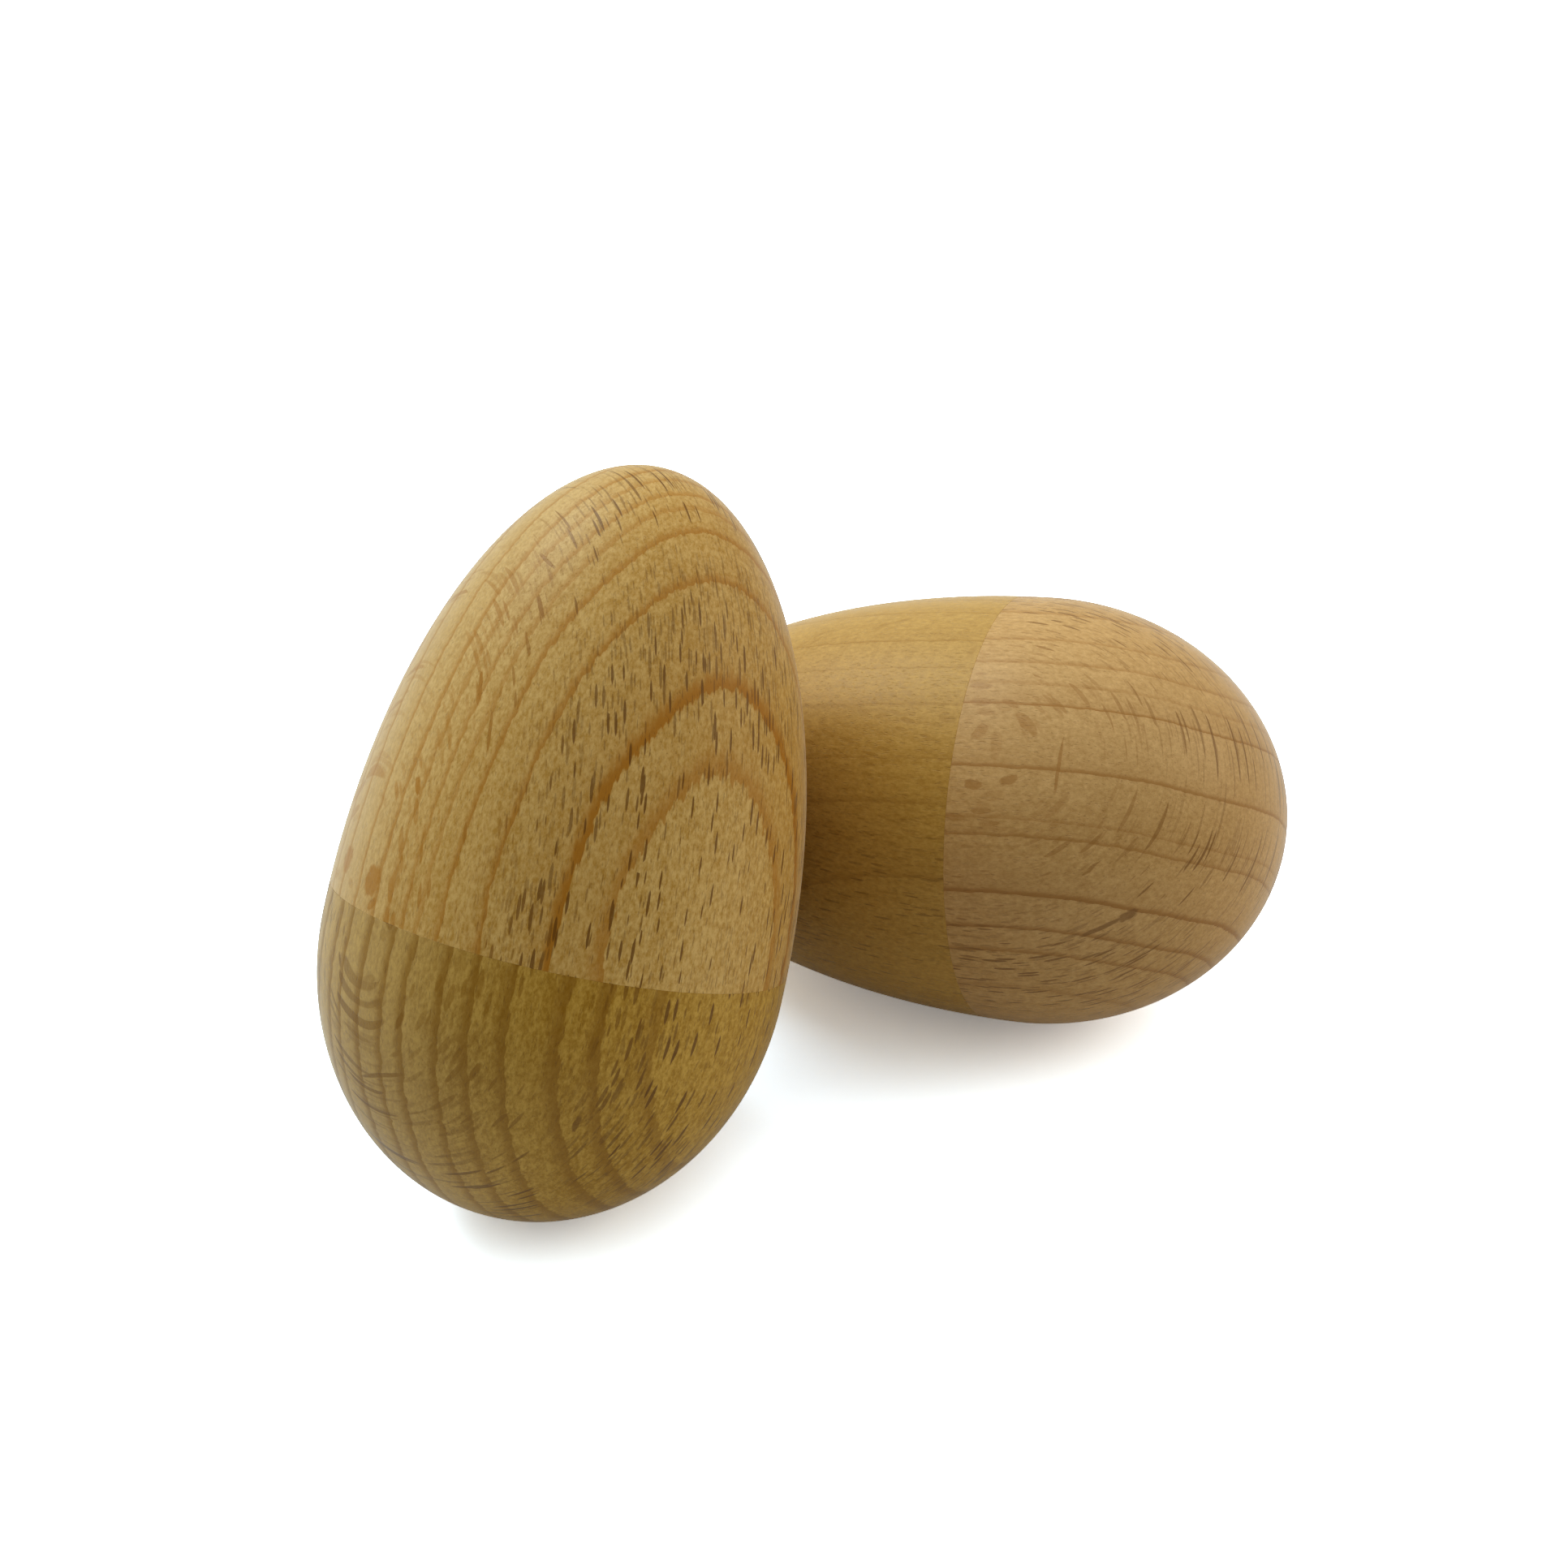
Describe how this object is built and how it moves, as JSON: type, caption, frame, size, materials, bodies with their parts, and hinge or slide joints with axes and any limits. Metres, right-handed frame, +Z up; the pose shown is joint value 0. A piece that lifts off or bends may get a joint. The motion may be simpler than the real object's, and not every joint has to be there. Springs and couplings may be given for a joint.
{
  "type": "egg shaker pair",
  "caption": "Pair of turned wooden egg shakers, one lying and one leaning on it, each a glued base and cap around loose steel beads.",
  "frame": {"origin": "on the table, below the middle of the box that holds both eggs at rest", "axes": "+Z up; +X along the lying egg's axis in plan, from its narrow end towards its blunt end; the leaning egg is towards -Y and its narrow end tips towards +Y"},
  "size_m": [0.0852, 0.0876, 0.068],
  "materials": {
    "lying_base_wood": "fine sanded, pinkish steamed beech, thin wax",
    "lying_cap_wood": "fine sanded, pale yellow beech, thin wax",
    "leaning_base_wood": "fine sanded, darker yellow beech, thin wax",
    "leaning_cap_wood": "fine sanded, light tan beech, thin wax",
    "steel_beads": "plain ground steel balls"
  },
  "bodies": {
    "lying_egg": {"lying_base_shell": "lying_base_wood", "lying_cap_shell": "lying_cap_wood"},
    "leaning_egg": {"leaning_base_shell": "leaning_base_wood", "leaning_cap_shell": "leaning_cap_wood"},
    "lying_bead_01": {"lying_bead_01": "steel_beads"},
    "lying_bead_02": {"lying_bead_02": "steel_beads"},
    "lying_bead_03": {"lying_bead_03": "steel_beads"},
    "lying_bead_04": {"lying_bead_04": "steel_beads"},
    "lying_bead_05": {"lying_bead_05": "steel_beads"},
    "lying_bead_06": {"lying_bead_06": "steel_beads"},
    "lying_bead_07": {"lying_bead_07": "steel_beads"},
    "lying_bead_08": {"lying_bead_08": "steel_beads"},
    "lying_bead_09": {"lying_bead_09": "steel_beads"},
    "lying_bead_10": {"lying_bead_10": "steel_beads"},
    "lying_bead_11": {"lying_bead_11": "steel_beads"},
    "lying_bead_12": {"lying_bead_12": "steel_beads"},
    "leaning_bead_01": {"leaning_bead_01": "steel_beads"},
    "leaning_bead_02": {"leaning_bead_02": "steel_beads"},
    "leaning_bead_03": {"leaning_bead_03": "steel_beads"},
    "leaning_bead_04": {"leaning_bead_04": "steel_beads"},
    "leaning_bead_05": {"leaning_bead_05": "steel_beads"},
    "leaning_bead_06": {"leaning_bead_06": "steel_beads"},
    "leaning_bead_07": {"leaning_bead_07": "steel_beads"},
    "leaning_bead_08": {"leaning_bead_08": "steel_beads"},
    "leaning_bead_09": {"leaning_bead_09": "steel_beads"},
    "leaning_bead_10": {"leaning_bead_10": "steel_beads"},
    "leaning_bead_11": {"leaning_bead_11": "steel_beads"},
    "leaning_bead_12": {"leaning_bead_12": "steel_beads"}
  },
  "joints": [
    {"name": "leaning_egg_lift", "type": "slide", "parent": "lying_egg", "child": "leaning_egg", "axis": [0, 0, 1], "range_m": [0, 0.1]},
    {"name": "lying_bead_01_bounce", "type": "slide", "parent": "lying_egg", "child": "lying_bead_01", "axis": [0, 0, 1], "range_m": [0, 0.02427]},
    {"name": "lying_bead_02_bounce", "type": "slide", "parent": "lying_egg", "child": "lying_bead_02", "axis": [0, 0, 1], "range_m": [0, 0.026]},
    {"name": "lying_bead_03_bounce", "type": "slide", "parent": "lying_egg", "child": "lying_bead_03", "axis": [0, 0, 1], "range_m": [0, 0.02705]},
    {"name": "lying_bead_04_bounce", "type": "slide", "parent": "lying_egg", "child": "lying_bead_04", "axis": [0, 0, 1], "range_m": [0, 0.02752]},
    {"name": "lying_bead_05_bounce", "type": "slide", "parent": "lying_egg", "child": "lying_bead_05", "axis": [0, 0, 1], "range_m": [0, 0.0265]},
    {"name": "lying_bead_06_bounce", "type": "slide", "parent": "lying_egg", "child": "lying_bead_06", "axis": [0, 0, 1], "range_m": [0, 0.02809]},
    {"name": "lying_bead_07_bounce", "type": "slide", "parent": "lying_egg", "child": "lying_bead_07", "axis": [0, 0, 1], "range_m": [0, 0.02908]},
    {"name": "lying_bead_08_bounce", "type": "slide", "parent": "lying_egg", "child": "lying_bead_08", "axis": [0, 0, 1], "range_m": [0, 0.02951]},
    {"name": "lying_bead_09_bounce", "type": "slide", "parent": "lying_egg", "child": "lying_bead_09", "axis": [0, 0, 1], "range_m": [0, 0.02427]},
    {"name": "lying_bead_10_bounce", "type": "slide", "parent": "lying_egg", "child": "lying_bead_10", "axis": [0, 0, 1], "range_m": [0, 0.026]},
    {"name": "lying_bead_11_bounce", "type": "slide", "parent": "lying_egg", "child": "lying_bead_11", "axis": [0, 0, 1], "range_m": [0, 0.02705]},
    {"name": "lying_bead_12_bounce", "type": "slide", "parent": "lying_egg", "child": "lying_bead_12", "axis": [0, 0, 1], "range_m": [0, 0.02752]},
    {"name": "leaning_bead_01_bounce", "type": "slide", "parent": "leaning_egg", "child": "leaning_bead_01", "axis": [0, 0, 1], "range_m": [0, 0.03824]},
    {"name": "leaning_bead_02_bounce", "type": "slide", "parent": "leaning_egg", "child": "leaning_bead_02", "axis": [0, 0, 1], "range_m": [0, 0.04074]},
    {"name": "leaning_bead_03_bounce", "type": "slide", "parent": "leaning_egg", "child": "leaning_bead_03", "axis": [0, 0, 1], "range_m": [0, 0.03472]},
    {"name": "leaning_bead_04_bounce", "type": "slide", "parent": "leaning_egg", "child": "leaning_bead_04", "axis": [0, 0, 1], "range_m": [0, 0.04124]},
    {"name": "leaning_bead_05_bounce", "type": "slide", "parent": "leaning_egg", "child": "leaning_bead_05", "axis": [0, 0, 1], "range_m": [0, 0.0335]},
    {"name": "leaning_bead_06_bounce", "type": "slide", "parent": "leaning_egg", "child": "leaning_bead_06", "axis": [0, 0, 1], "range_m": [0, 0.02706]},
    {"name": "leaning_bead_07_bounce", "type": "slide", "parent": "leaning_egg", "child": "leaning_bead_07", "axis": [0, 0, 1], "range_m": [0, 0.02438]},
    {"name": "leaning_bead_08_bounce", "type": "slide", "parent": "leaning_egg", "child": "leaning_bead_08", "axis": [0, 0, 1], "range_m": [0, 0.02428]},
    {"name": "leaning_bead_09_bounce", "type": "slide", "parent": "leaning_egg", "child": "leaning_bead_09", "axis": [0, 0, 1], "range_m": [0, 0.02667]},
    {"name": "leaning_bead_10_bounce", "type": "slide", "parent": "leaning_egg", "child": "leaning_bead_10", "axis": [0, 0, 1], "range_m": [0, 0.03279]},
    {"name": "leaning_bead_11_bounce", "type": "slide", "parent": "leaning_egg", "child": "leaning_bead_11", "axis": [0, 0, 1], "range_m": [0, 0.04065]},
    {"name": "leaning_bead_12_bounce", "type": "slide", "parent": "leaning_egg", "child": "leaning_bead_12", "axis": [0, 0, 1], "range_m": [0, 0.04449]}
  ]
}
